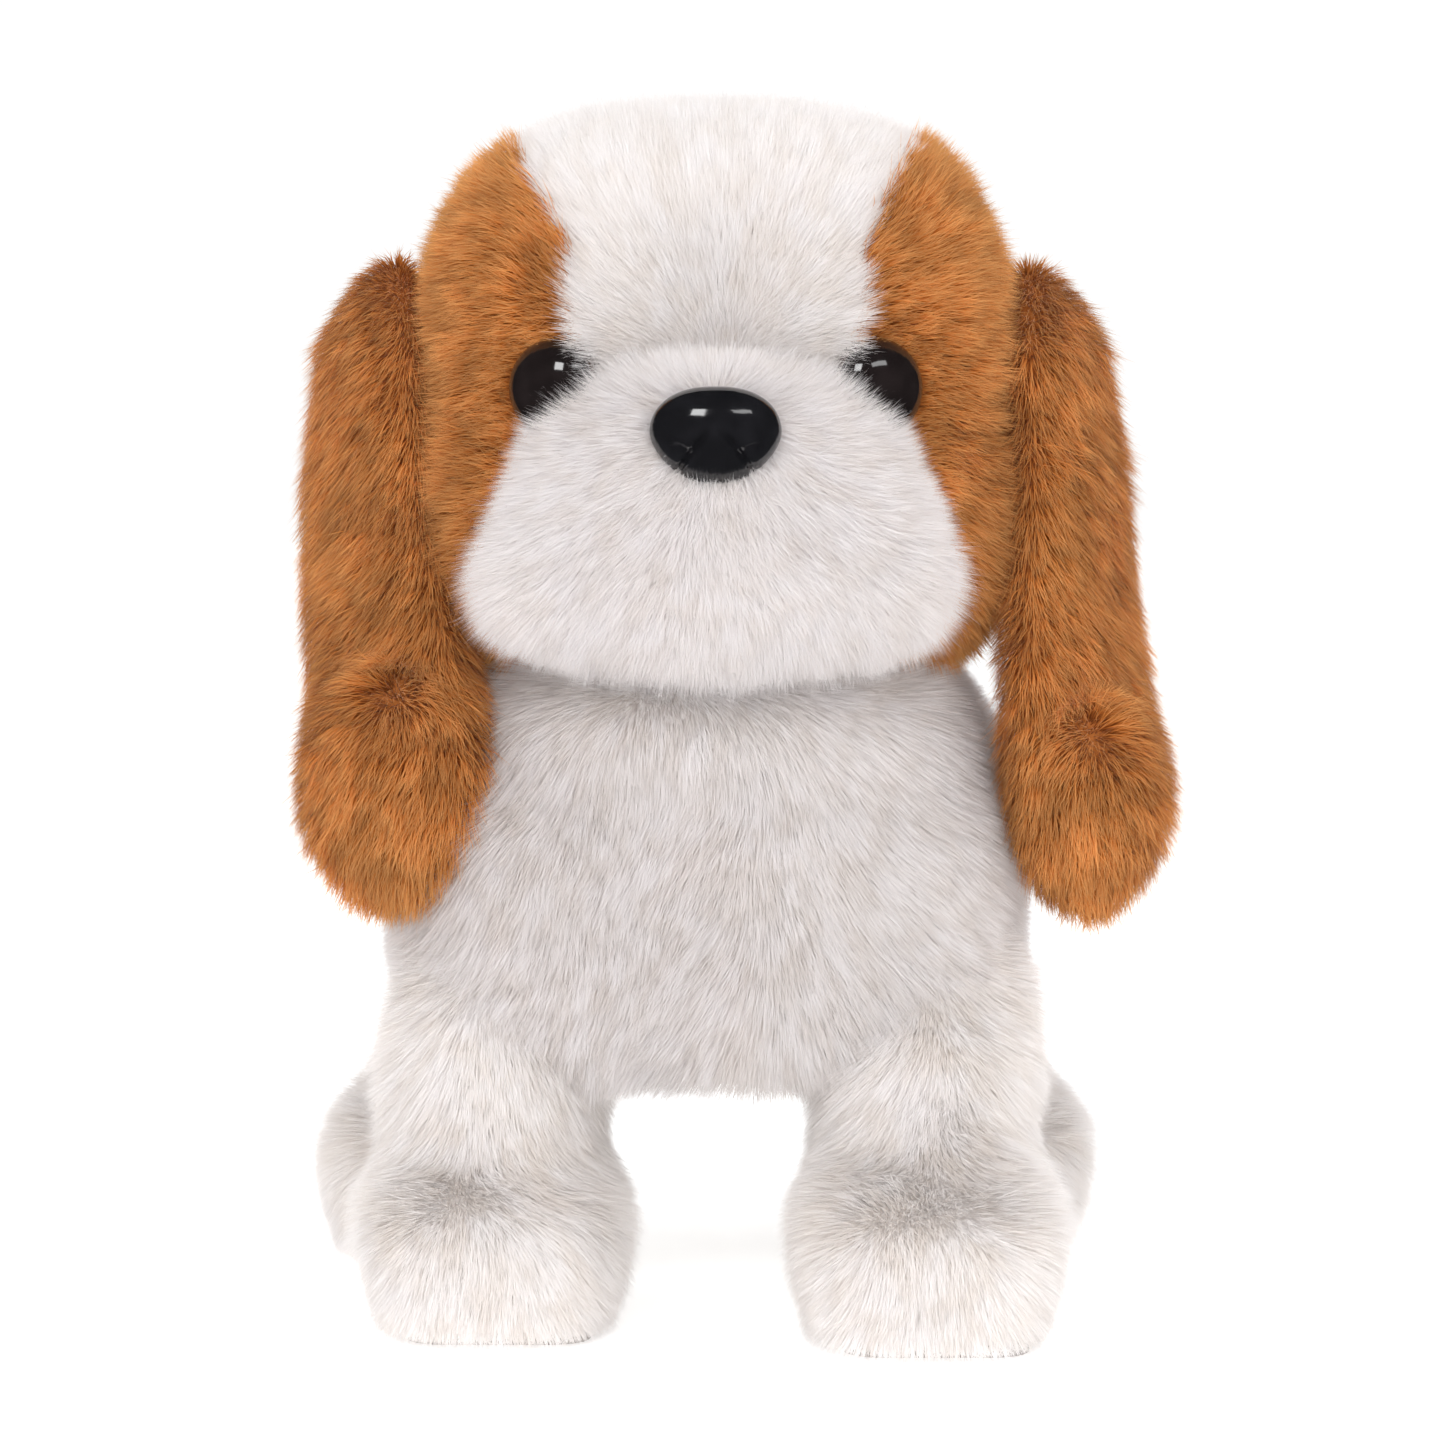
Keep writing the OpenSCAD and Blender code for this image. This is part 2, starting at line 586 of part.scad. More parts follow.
// the rod rises towards the tail's tip
module tail_rod(grow) translate([0, tail_pin_y + 7.5, tail_z - 0.4]) rotate([-45, 0, 0])
  cylinder(h = 31 + grow, r = 1.5 + grow);
module tail_lever() color("whitesmoke") difference() {
  union() {
    translate([0, tail_pin_y, tail_z - 1.8]) cylinder(h = 3.6, r = 4);
    box(-1.8, 1.8, tail_pin_y + 2, tail_pin_y + 9, tail_z - 1.8, tail_z + 1.8);
    tail_rod(0);
  }
  translate([0, tail_pin_y, tail_z - 3]) cylinder(h = 6, r = 1.5 + RUN);
}
module tail_plush() color("snow") difference() {
  hull() {
    ball(0, 71, tail_z + 10, 6.5);
    ball(0, 77, tail_z + 20, 7.5);
    ball(0, 81, tail_z + 30, 7);
  }
  tail_rod(0.2);
}

torso_plush();
case_upper();
case_lower();
case_screws();
battery_door();
battery_door_screw();
battery_left();
battery_right();
battery_spring_contact();
battery_plate_contact();
circuit_board();
speaker();
microphone();
switch_body();
switch_knob();
gearbox_plate_inner();
gearbox_plate_outer();
motor();
motor_pinion();
compound_gear_1();
compound_gear_2();
gear_arbors();
crankshaft();
front_axle();
rear_axle();
axle_caps();
neck_pin();
neck_lever();
skull_front();
skull_rear();
head_blaze_plush();
head_side_plush_left();
head_side_plush_right();
muzzle_plush();
eye_left();
eye_right();
eye_washers();
nose();
nose_washer();
ear_left();
ear_right();
leg_link_front_left();
leg_link_front_right();
leg_link_hind_left();
leg_link_hind_right();
leg_plush_front_left();
leg_plush_front_right();
leg_plush_hind_left();
leg_plush_hind_right();
sole_front_left();
sole_front_right();
sole_hind_left();
sole_hind_right();
tail_pin();
tail_lever();
tail_plush();
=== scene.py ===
"""Interactive plush puppy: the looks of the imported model.

Stuffed forms are signed distance fields, worked out in millimetres in the row's frame. Each form is
skinned with knitted backing and planted with pile: seeded mesh strands, combed and clumped."""
import json
import math

import bpy
import numpy as np
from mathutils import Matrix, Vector


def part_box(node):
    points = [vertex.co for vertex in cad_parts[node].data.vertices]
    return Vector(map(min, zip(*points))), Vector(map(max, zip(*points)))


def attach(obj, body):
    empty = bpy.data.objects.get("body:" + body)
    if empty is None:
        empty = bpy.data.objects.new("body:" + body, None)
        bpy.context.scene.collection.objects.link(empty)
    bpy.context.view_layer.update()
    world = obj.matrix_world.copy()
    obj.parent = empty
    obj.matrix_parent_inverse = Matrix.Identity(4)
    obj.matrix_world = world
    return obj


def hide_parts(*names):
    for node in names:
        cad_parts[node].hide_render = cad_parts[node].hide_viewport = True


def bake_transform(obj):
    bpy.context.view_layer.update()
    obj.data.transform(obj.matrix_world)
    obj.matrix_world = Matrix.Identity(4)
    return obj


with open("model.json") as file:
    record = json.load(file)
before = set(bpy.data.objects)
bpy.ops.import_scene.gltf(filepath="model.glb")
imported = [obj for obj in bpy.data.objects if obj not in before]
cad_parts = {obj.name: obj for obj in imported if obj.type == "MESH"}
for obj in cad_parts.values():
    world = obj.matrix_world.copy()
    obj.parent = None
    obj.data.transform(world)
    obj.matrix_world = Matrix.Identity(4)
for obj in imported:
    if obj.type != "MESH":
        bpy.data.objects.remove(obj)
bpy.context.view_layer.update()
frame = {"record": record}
MM = 0.001
FLOOR_GAP = 0.2                          # mm between the lowest strands and the floor
PILE_SHARE = 1.0


# ---------------------------------------------------------------- numbers
def node_box(node):
    """Lowest and highest corner of a CAD node, in mm."""
    lo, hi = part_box(node)
    return np.array(lo) / MM, np.array(hi) / MM


def node_middle(node):
    """Middle of a CAD node, in mm."""
    lo, hi = node_box(node)
    return (lo + hi) / 2


def unit(v):
    """The same directions, 1 long."""
    return v / np.maximum(np.linalg.norm(v, axis=-1, keepdims=True), 1e-9)


def ease(x, a, b):
    """Smooth step from 0 at a to 1 at b."""
    t = np.clip((x - a) / (b - a), 0, 1)
    return t * t * (3 - 2 * t)


def lattice(p, seed):
    """Three repeatable random numbers from 0 to 1 for each whole-numbered point."""
    h = (p[..., 0] * 73856093) ^ (p[..., 1] * 19349663) ^ (p[..., 2] * 83492791) ^ (seed * 2654435761)
    out = []
    for k in range(3):
        h = (h ^ (h >> 13)) * 1274126177 + k * 97
        h &= 0x7FFFFFFFFFFF
        out.append((h % 65521) / 65521.0)
    return np.stack(out, -1)


def wander(p, size, seed):
    """Smooth random vectors, each part from -1 to 1, that change over about size mm."""
    q = p / size
    base = np.floor(q).astype(np.int64)
    f = q - base
    f = f * f * (3 - 2 * f)
    total = np.zeros(p.shape)
    for c in np.ndindex(2, 2, 2):
        w = np.prod(np.where(np.array(c), f, 1 - f), axis=-1, keepdims=True)
        total += w * lattice(base + np.array(c), seed)
    return total * 2 - 1


def nearest_tuft(p, size, seed):
    """The tuft centre that each point belongs to, and one random number per tuft."""
    base = np.floor(p / size).astype(np.int64)
    best = np.full(len(p), 1e18)
    centre = np.zeros(p.shape)
    tone = np.zeros(len(p))
    for c in np.ndindex(3, 3, 3):
        cell = base + np.array(c) - 1
        r = lattice(cell, seed)
        q = (cell + r) * size
        d = ((q - p) ** 2).sum(-1)
        near = d < best
        best[near] = d[near]
        centre[near] = q[near]
        tone[near] = r[near][:, 1]
    return centre, tone


# ---------------------------------------------------------------- forms
def egg(centre, radii, power=2.0):
    """A rounded block: an ellipsoid at power 2, squarer above it."""
    c, r = np.array(centre, float), np.array(radii, float)

    def f(p):
        k = (np.abs((p - c) / r) ** power).sum(-1) ** (1 / power)
        return (k - 1) * r.min()

    return f


def limb(a, b, ra, rb):
    """A tapered rod with round ends."""
    a, b = np.array(a, float), np.array(b, float)

    def f(p):
        t = np.clip(((p - a) @ (b - a)) / ((b - a) @ (b - a)), 0, 1)
        return np.linalg.norm(p - a - t[:, None] * (b - a), axis=-1) - (ra + (rb - ra) * t)

    return f


def merge(k, *forms):
    """Smooth union: k is how many mm the blend reaches."""

    def f(p):
        d = forms[0](p)
        for g in forms[1:]:
            e = g(p)
            h = np.clip(0.5 + 0.5 * (e - d) / k, 0, 1)
            d = e + (d - e) * h - k * h * (1 - h)
        return d

    return f


def above(form, z, k=3.0):
    """The part of a form above height z, with its edge rounded over k mm."""

    def f(p):
        d, e = form(p), z - p[:, 2]
        h = np.clip(0.5 - 0.5 * (e - d) / k, 0, 1)
        return e + (d - e) * h + k * h * (1 - h)

    return f


def slope(form, p, step=0.2):
    """Which way the distance grows, by differences over a step in mm."""
    g = np.stack([form(p + step * e) - form(p - step * e) for e in np.eye(3)], -1) / (2 * step)
    return g


def settle(form, p, rounds=3):
    """Move points onto the form's surface."""
    for _ in range(rounds):
        g = slope(form, p)
        p = p - form(p)[:, None] * g / np.maximum((g * g).sum(-1, keepdims=True), 1e-6)
    return p


def surface(form, lo, hi, cell=2.0):
    """Quads over the form's surface inside a box, by surface nets."""
    lo, hi = np.array(lo, float), np.array(hi, float)
    n = np.ceil((hi - lo) / cell).astype(int) + 1
    axes = [lo[i] + cell * np.arange(n[i]) for i in range(3)]
    grid = np.stack(np.meshgrid(*axes, indexing="ij"), -1)
    value = form(grid.reshape(-1, 3)).reshape(n)
    m = n - 1
    corners = list(np.ndindex(2, 2, 2))

    def part(a, c):
        return a[c[0]:c[0] + m[0], c[1]:c[1] + m[1], c[2]:c[2] + m[2]]

    count = sum(part(value < 0, c).astype(int) for c in corners)
    active = (count > 0) & (count < 8)
    index = np.full(m, -1)
    index[active] = np.arange(active.sum())
    spot = np.zeros((active.sum(), 3))
    hits = np.zeros(active.sum())
    for c in corners:
        for axis in range(3):
            if c[axis]:
                continue
            d = tuple(c[i] + (i == axis) for i in range(3))
            a, b = part(value, c)[active], part(value, d)[active]
            cross = (a < 0) != (b < 0)
            t = np.where(cross, a / np.where(cross, a - b, 1), 0)
            pa, pb = part(grid, c)[active], part(grid, d)[active]
            spot += np.where(cross[:, None], pa + t[:, None] * (pb - pa), 0)
            hits += cross
    spot /= hits[:, None]
    quads = []
    for axis in range(3):
        u, v = (axis + 1) % 3, (axis + 2) % 3
        first = np.take(value < 0, range(n[axis] - 1), axis)
        second = np.take(value < 0, range(1, n[axis]), axis)
        edges = np.argwhere(first != second)
        edges = edges[(edges[:, u] > 0) & (edges[:, v] > 0) & (edges[:, u] < m[u]) & (edges[:, v] < m[v])]
        ring = []
        for du, dv in ((1, 1), (0, 1), (0, 0), (1, 0)):
            e = edges.copy()
            e[:, u] -= du
            e[:, v] -= dv
            ring.append(index[tuple(e.T)])
        q = np.stack(ring, -1)
        out = ~first[tuple(edges.T)]
        q[out] = q[out][:, ::-1]
        quads.append(q)
    return settle(form, spot), np.concatenate(quads)


# ---------------------------------------------------------------- meshes
def new_mesh(name, verts_mm, faces, smooth=True):
    """An object from vertices in mm and an array, or a list of arrays, of faces."""
    faces = faces if isinstance(faces, list) else [faces]
    me = bpy.data.meshes.new(name)
    loops = np.concatenate([f.ravel() for f in faces])
    sizes = np.concatenate([np.full(len(f), f.shape[1]) for f in faces])
    starts = np.concatenate([[0], np.cumsum(sizes)[:-1]])
    me.vertices.add(len(verts_mm))
    me.vertices.foreach_set("co", (np.asarray(verts_mm) * MM).astype(np.float32).ravel())
    me.loops.add(len(loops))
    me.loops.foreach_set("vertex_index", loops.astype(np.int32))
    me.polygons.add(len(starts))
    me.polygons.foreach_set("loop_start", starts.astype(np.int32))
    me.update(calc_edges=True)
    me.polygons.foreach_set("use_smooth", np.full(len(starts), smooth))
    ob = bpy.data.objects.new(name, me)
    bpy.context.scene.collection.objects.link(ob)
    return ob


def compact(verts, faces):
    """Only the vertices that the faces use, and the faces renumbered."""
    used, inverse = np.unique(faces, return_inverse=True)
    return verts[used], inverse.reshape(faces.shape)


def scatter(rng, verts, quads, per_mm2):
    """Points spread evenly over quads."""
    a, b, c, d = (verts[quads[:, i]] for i in range(4))
    tri = np.concatenate([np.stack([a, b, c], 1), np.stack([a, c, d], 1)])
    area = np.linalg.norm(np.cross(tri[:, 1] - tri[:, 0], tri[:, 2] - tri[:, 0]), axis=-1) / 2
    n = int(area.sum() * per_mm2)
    pick = tri[np.searchsorted(np.cumsum(area) / area.sum(), rng.random(n)).clip(0, len(tri) - 1)]
    u, v = rng.random(n), rng.random(n)
    over = u + v > 1
    u[over], v[over] = 1 - u[over], 1 - v[over]
    return pick[:, 0] + u[:, None] * (pick[:, 1] - pick[:, 0]) + v[:, None] * (pick[:, 2] - pick[:, 0])


def strands(rng, root, normal, comb, length, style):
    """Vertices, tone and height of curved tapered blades, one row per strand."""
    tuft, tone = nearest_tuft(root, style["tuft"], style["seed"])
    flow = comb - normal * (comb * normal).sum(-1, keepdims=True)
    stray = wander(root, style["swirl"], style["seed"] + 1) * style["wave"]
    stray += rng.normal(size=root.shape) * style["stray"]
    lean = style["lean"]
    lean = lean(root)[:, None] if callable(lean) else lean
    start = unit(normal + 0.6 * lean * flow + 0.4 * stray)
    end = unit(normal * (1 - 0.75 * lean) + lean * flow + stray)
    n = len(root)
    length = length * (1 + style["uneven"] * rng.normal(size=n).clip(-2, 2)) * (1 + 0.25 * (tone - 0.5))
    length = length[:, None]
    pull = tuft - root
    pull -= normal * (pull * normal).sum(-1, keepdims=True)
    grip = style["clump"] * (0.6 + 0.8 * tone)[:, None]
    rows = []
    steps = style["steps"]
    for t in np.linspace(0, 1, steps + 1):
        rows.append(root + length * (start * t + (end - start) * t * t * 0.6) + pull * grip * t ** 1.5)
    along = unit(rows[-1] - rows[0])
    side = unit(np.cross(along, normal + 0.2 * rng.normal(size=root.shape)))
    half = style["width"] / 2 * (0.75 + 0.5 * rng.random((n, 1)))
    verts, height = [], []
    for i, row in enumerate(rows[:-1]):
        t = i / steps
        w = half * (1 - 0.55 * t)
        verts += [row - side * w, row + side * w]
        height += [t, t]
    verts.append(rows[-1])
    height.append(1.0)
    own = np.clip(tone * 0.6 + 0.4 * rng.random(n), 0, 1)
    verts = np.stack(verts, 1)
    verts[..., 2] = np.maximum(verts[..., 2], FLOOR_GAP)
    return verts, np.array(height), own


def blades(name, verts, height, own):
    """One mesh of blades: the attribute pile holds height, own tone and 1."""
    n, k = verts.shape[:2]
    base = np.arange(n)[:, None] * k
    faces = [base + np.array([2 * i, 2 * i + 1, 2 * i + 3, 2 * i + 2]) for i in range(k // 2 - 1)]
    faces.append(base + np.array([k - 3, k - 2, k - 1]))
    ob = new_mesh(name, verts.reshape(-1, 3), faces)
    data = np.ones((n, k, 4), np.float32)
    data[..., 0] = height
    data[..., 1] = own[:, None]
    layer = ob.data.color_attributes.new("pile", "FLOAT_COLOR", "POINT")
    layer.data.foreach_set("color", data.ravel())
    return ob


# ---------------------------------------------------------------- materials
def material(name, build):
    """A material whose nodes are linked up by build(nodes, shader, output)."""
    m = bpy.data.materials.new(name)
    m.use_nodes = True
    nt = m.node_tree
    build(nt, nt.nodes["Principled BSDF"], nt.nodes["Material Output"])
    return m


def add(nt, kind, **inputs):
    """A new node with its sockets set."""
    node = nt.nodes.new(kind)
    for key, value in inputs.items():
        node.inputs[key].default_value = value
    return node


def noise(nt, scale, detail=3.0):
    """A noise texture fixed to the piece, scale in cycles per metre."""
    tc = nt.nodes.new("ShaderNodeTexCoord")
    node = add(nt, "ShaderNodeTexNoise", Scale=scale, Detail=detail)
    nt.links.new(tc.outputs["Object"], node.inputs["Vector"])
    return node


def ramp(nt, source, stops):
    """A colour ramp over a value, by stops of (position, colour)."""
    node = nt.nodes.new("ShaderNodeValToRGB")
    els = node.color_ramp.elements
    while len(els) < len(stops):
        els.new(0.5)
    for el, (at, colour) in zip(els, stops):
        el.position = at
        el.color = (*colour, 1)
    nt.links.new(source, node.inputs["Fac"])
    return node


def multiply(nt, a, b, amount=1.0):
    """One colour times another."""
    node = nt.nodes.new("ShaderNodeMix")
    node.data_type = "RGBA"
    node.blend_type = "MULTIPLY"
    node.inputs["Factor"].default_value = amount
    nt.links.new(a, node.inputs["A"])
    nt.links.new(b, node.inputs["B"])
    return node.outputs["Result"]


def pile_material(name, root, middle, tip, spread, through):
    """Fibre colour from root to tip, varied by strand and by patch, with some light passing through. The
    root is darker as painted shade deep in the pile, the tip lighter as a painted highlight, and the pile
    has a faint painted glow.
    """

    def build(nt, shader, out):
        at = nt.nodes.new("ShaderNodeAttribute")
        at.attribute_name = "pile"
        parts = nt.nodes.new("ShaderNodeSeparateColor")
        nt.links.new(at.outputs["Color"], parts.inputs["Color"])
        # painted shade and highlight: darker at the root, where shade falls deep in the pile, lighter at
        # the tip
        along = ramp(nt, parts.outputs["Red"], [(0.0, root), (0.45, middle), (1.0, tip)])
        low, high = 1 - spread, 1.0
        own = ramp(nt, parts.outputs["Green"], [(0.0, (low, low * 0.97, low * 0.93)), (1.0, (high,) * 3)])
        patch = ramp(nt, noise(nt, 90).outputs["Fac"],
                     [(0.3, (1 - spread * 0.6,) * 3), (0.7, (1.0, 1.0, 1.0))])
        colour = multiply(nt, multiply(nt, along.outputs["Color"], own.outputs["Color"]),
                          patch.outputs["Color"])
        nt.links.new(colour, shader.inputs["Base Color"])
        shader.inputs["Roughness"].default_value = 0.55
        shader.inputs["Specular IOR Level"].default_value = 0.25
        shader.inputs["Sheen Weight"].default_value = 0.15
        shader.inputs["Sheen Roughness"].default_value = 0.4
        # painted glow: the pile gives off a little light in its own colour, standing in for light that has
        # gone from fibre to fibre many times
        nt.links.new(colour, shader.inputs["Emission Color"])
        shader.inputs["Emission Strength"].default_value = 0.04
        glow = nt.nodes.new("ShaderNodeBsdfTranslucent")
        nt.links.new(colour, glow.inputs["Color"])
        mix = nt.nodes.new("ShaderNodeMixShader")
        mix.inputs["Fac"].default_value = through
        nt.links.new(shader.outputs["BSDF"], mix.inputs[1])
        nt.links.new(glow.outputs["BSDF"], mix.inputs[2])
        nt.links.new(mix.outputs["Shader"], out.inputs["Surface"])

    return material(name, build)


def backing_material(name, dark, light):
    """The knitted backing that shows between the strands."""

    def build(nt, shader, out):
        colour = ramp(nt, noise(nt, 700, 5).outputs["Fac"], [(0.3, dark), (0.7, light)])
        nt.links.new(colour.outputs["Color"], shader.inputs["Base Color"])
        shader.inputs["Roughness"].default_value = 0.95
        bump = add(nt, "ShaderNodeBump", Strength=0.5, Distance=0.0004)
        nt.links.new(noise(nt, 2500).outputs["Fac"], bump.inputs["Height"])
        nt.links.new(bump.outputs["Normal"], shader.inputs["Normal"])

    return material(name, build)


def hard_material(name, colour, rough, grain=1500.0, metallic=0.0, strength=0.15, spread=0.08, coat=0.0):
    """Moulded plastic or metal with a fine surface grain and slightly uneven colour."""

    def build(nt, shader, out):
        dim = tuple(c * (1 - spread) for c in colour)
        tint = ramp(nt, noise(nt, 60).outputs["Fac"], [(0.35, dim), (0.65, colour)])
        nt.links.new(tint.outputs["Color"], shader.inputs["Base Color"])
        smear = ramp(nt, noise(nt, 220, 4).outputs["Fac"],
                     [(0.3, (rough * 0.8,) * 3), (0.7, (rough * 1.2,) * 3)])
        nt.links.new(smear.outputs["Color"], shader.inputs["Roughness"])
        shader.inputs["Metallic"].default_value = metallic
        shader.inputs["Coat Weight"].default_value = coat
        bump = add(nt, "ShaderNodeBump", Strength=strength, Distance=0.0001)
        nt.links.new(noise(nt, grain).outputs["Fac"], bump.inputs["Height"])
        nt.links.new(bump.outputs["Normal"], shader.inputs["Normal"])

    return material(name, build)


# name, colour at the root, halfway and at the tip, spread between strands, share of light let through
WHITE_PILE = pile_material("white_pile", (0.825, 0.802, 0.81), (0.85, 0.833, 0.842), (0.872, 0.857, 0.868),
                           spread=0.03, through=0.55)
# a lighter copy of the same white pile for the blaze: painted light where the forehead catches less light
CROWN_PILE_PAINTED_LIGHTER = pile_material("crown_pile_painted_lighter", (0.882, 0.865, 0.866), (0.897, 0.885, 0.89), (0.911, 0.899, 0.907),
                           spread=0.03, through=0.55)
# a lighter copy of the same white pile for the legs: painted light over the shade in the creases and under
# the head
LEG_PILE_PAINTED_LIGHTER = pile_material("leg_pile_painted_lighter", (0.905, 0.888, 0.886), (0.92, 0.908, 0.911), (0.935, 0.923, 0.929),
                           spread=0.03, through=0.55)
# a darker copy of the same white pile for the torso and tail: painted shade
CHEST_PILE_PAINTED_SHADE = pile_material("chest_pile_painted_shade", (0.815, 0.79, 0.785), (0.84, 0.821, 0.825), (0.865, 0.847, 0.856),
                           spread=0.05, through=0.55)
# the brown root colour is painted deep shade and the pale tan tip is a painted highlight
BROWN_PILE = pile_material("brown_pile", (0.34, 0.103, 0.022), (0.78, 0.282, 0.057), (0.96, 0.53, 0.20),
                           spread=0.42, through=0.4)
WHITE_BACKING = backing_material("white_backing", (0.86, 0.83, 0.82), (0.90, 0.87, 0.86))
# painted shade: the brown backing is far darker than the brown pile, for the shade deep between the strands
BROWN_BACKING_PAINTED_SHADE = backing_material("brown_backing_painted_shade", (0.32, 0.10, 0.02), (0.46, 0.15, 0.03))


# ---------------------------------------------------------------- pile
MOST_BLADES = {1: 180000, 2: 62000}       # by steps in a strand: keeps a piece under 200,000 triangles
# tuft: mm across a tuft. swirl, wave: size in mm and strength of the swirls in the comb. stray: how far
# single strands go astray. lean: 0 stands up, 1 lies along the comb. uneven: spread of length.
# clump: how far tips draw towards their tuft. steps: straight parts in a strand. width: mm across a strand.
STYLE = dict(tuft=2.4, seed=1, swirl=9.0, wave=0.22, stray=0.10, lean=0.45, uneven=0.12, clump=0.2,
             steps=2, width=0.17)


def carry(piece, rider):
    """Ride a piece on a body; a piece given two bodies is left where it stands, on neither."""
    if isinstance(rider, str):
        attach(piece, rider)
    else:
        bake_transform(piece)


def plush(name, form, net, pick, comb, length, per_mm2, pile, backing, rider, slot, bald=None, **style):
    """One stuffed piece: its backing and its pile. Returns the backing.

    name, form, net: what it is called, its form and its quads. pick: which quads are its own.
    comb, length, per_mm2: which way the pile lies, how long it is in mm, and how dense.
    bald: where none grows. style: what differs from STYLE."""
    verts, quads = net
    middle = verts[quads].mean(1)
    skin_faces = quads[pick(middle)] if pick else quads
    v, f = compact(verts, skin_faces)
    skin = new_mesh(name, v, f)
    skin.data.materials.append(backing)
    carry(skin, rider)
    look = {**STYLE, **style}
    rng = np.random.default_rng(look["seed"])
    root = settle(form, scatter(rng, verts, skin_faces, per_mm2 * PILE_SHARE), 2)
    if bald:
        root = root[~bald(root)]
    normal = unit(slope(form, root))
    reach = length(root) if callable(length) else np.full(len(root), float(length))
    blade, height, own = strands(rng, root, normal, unit(comb(root, normal)), reach, look)
    # neighbouring strands share a piece
    order = np.argsort(root[:, 1])
    most = MOST_BLADES[look["steps"]]
    parts = max(1, math.ceil(len(order) / most))
    for i, rows in enumerate(np.array_split(order, parts)):
        piece = blades(f"{name}_pile_{i + 1}", blade[rows], height, own[rows])
        piece.data.materials.append(pile)
        carry(piece, rider)
    return skin


# ---------------------------------------------------------------- head and muzzle
eye_mid = {s: node_middle(f"eye_{s}") for s in ("left", "right")}
nose_lo, nose_hi = node_box("nose")
NOSE = np.array([0, nose_lo[1] + 5.5, (nose_lo[2] + nose_hi[2]) / 2])

head_form = merge(
    9,
    egg((0, -27, 147), (42, 36, 38), 2.8),
    egg((24, -36, 121), (19.5, 21, 19)),
    egg((-24, -36, 121), (19.5, 21, 19)),
    egg((0, -47, 162), (29, 15, 15), 2.3),
)
muzzle_form = merge(
    7,
    egg((0, -67.5, 130.5), (16.5, 17, 15.5), 2.3),
    egg((10, -62, 135), (13, 12, 10.5)),
    egg((-10, -62, 135), (13, 12, 10.5)),
    egg((16, -62, 128), (12, 13, 10.5)),
    egg((-16, -62, 128), (12, 13, 10.5)),
    egg((16, -59, 117.5), (16, 16, 11.5), 2.4),
    egg((-16, -59, 117.5), (16, 16, 11.5), 2.4),
    egg((0, -63, 116), (17, 17, 11)),
)


def blaze_width(p):
    """Half width of the white blaze: narrow between the eyes, wide on the crown, a point at the nape."""
    front = 20 + 11 * ease(p[:, 2], 160, 186)
    back = 30 - 22 * ease(-p[:, 2], -172, -115)
    return front + (back - front) * ease(p[:, 1], -25, -5)


def head_part(side):
    """A test for the quads of the blaze (side 0) or of a brown side (1 left, -1 right)."""
    if side == 0:
        return lambda p: np.abs(p[:, 0]) < blaze_width(p)
    return lambda p: side * p[:, 0] >= blaze_width(p)


def head_comb(p, n):
    """From between the eyes up over the crown, and down the cheeks."""
    away = p - np.array([0, -62, 141])
    flow = unit(away * np.array([1.0, 0.35, 1.0])) + np.array([0, 0.35, 0])
    down = ease(np.abs(p[:, 0]), 26, 40)[:, None] * np.array([0, 0.1, -1.1])
    back = ease(p[:, 1], -30, -5)[:, None] * np.array([0, 0.2, -1.0])
    return flow + down + back


def muzzle_comb(p, n):
    """Out from the nose and down over the lips."""
    away = p - (NOSE + np.array([0, 6, 4]))
    flow = unit(away) + np.array([0, 0.15, -0.35])
    # some hairs right under the nose stand up over its rim
    under = ease(-np.abs(p[:, 0]), -8, -5) * ease(-p[:, 2], 8 - NOSE[2], 9 - NOSE[2])
    under *= ease(p[:, 2], NOSE[2] - 11, NOSE[2] - 9.5) * (wander(p, 0.9, 3)[:, 0] > 0.25)
    return flow * (1 - under[:, None]) + under[:, None] * np.array([0, -0.5, 1.2])


def muzzle_length(p):
    """Longer on the lips and under the chin, where it laps over the cheeks and the chest."""
    lips = ease(np.abs(p[:, 0]), 20, 32) * ease(-p[:, 2], -128, -114)
    chin = ease(-p[:, 2], -112, -104)
    return 5.0 + np.maximum(3.0 * lips, 2.0 * chin)


def in_eye(p):
    """Where an eye sits on the fabric."""
    near = np.full(len(p), False)
    for mid in eye_mid.values():
        near |= np.hypot(p[:, 0] - mid[0], p[:, 2] - mid[2]) + 0.3 * np.maximum(p[:, 1] + 50, 0) < 6.2
    return near


def in_nose(p):
    """Where the nose sits on the fabric."""
    d = (p - NOSE) / np.array([7.6, 30, 5.4])
    return (d[:, 0] ** 2 + d[:, 2] ** 2 < 1) & (p[:, 1] < NOSE[1] + 12)


def inside(form, depth):
    """A test for points deeper than this many mm inside a form."""
    return lambda p: form(p) < -depth


def either(*tests):
    """A test that is met where any one of the tests is met."""
    return lambda p: np.any([t(p) for t in tests], axis=0)


head_net = surface(head_form, (-50, -72, 95), (50, 18, 192))
muzzle_net = surface(muzzle_form, (-46, -90, 92), (46, -30, 156))


def face_length(long, short):
    """Pile is short round the eyes: short is the part of its length that it keeps there."""

    def f(p):
        d = np.min([np.linalg.norm(p - m, axis=-1) for m in eye_mid.values()], axis=0)
        return long * (short + (1 - short) * ease(d, 7, 18))

    return f


def face_lean(long):
    """Pile stands up round the eyes, so that it laps over their edges."""

    def f(p):
        d = np.min([np.linalg.norm(p - m, axis=-1) for m in eye_mid.values()], axis=0)
        return long * (0.5 + 0.5 * ease(d, 8, 14))

    return f


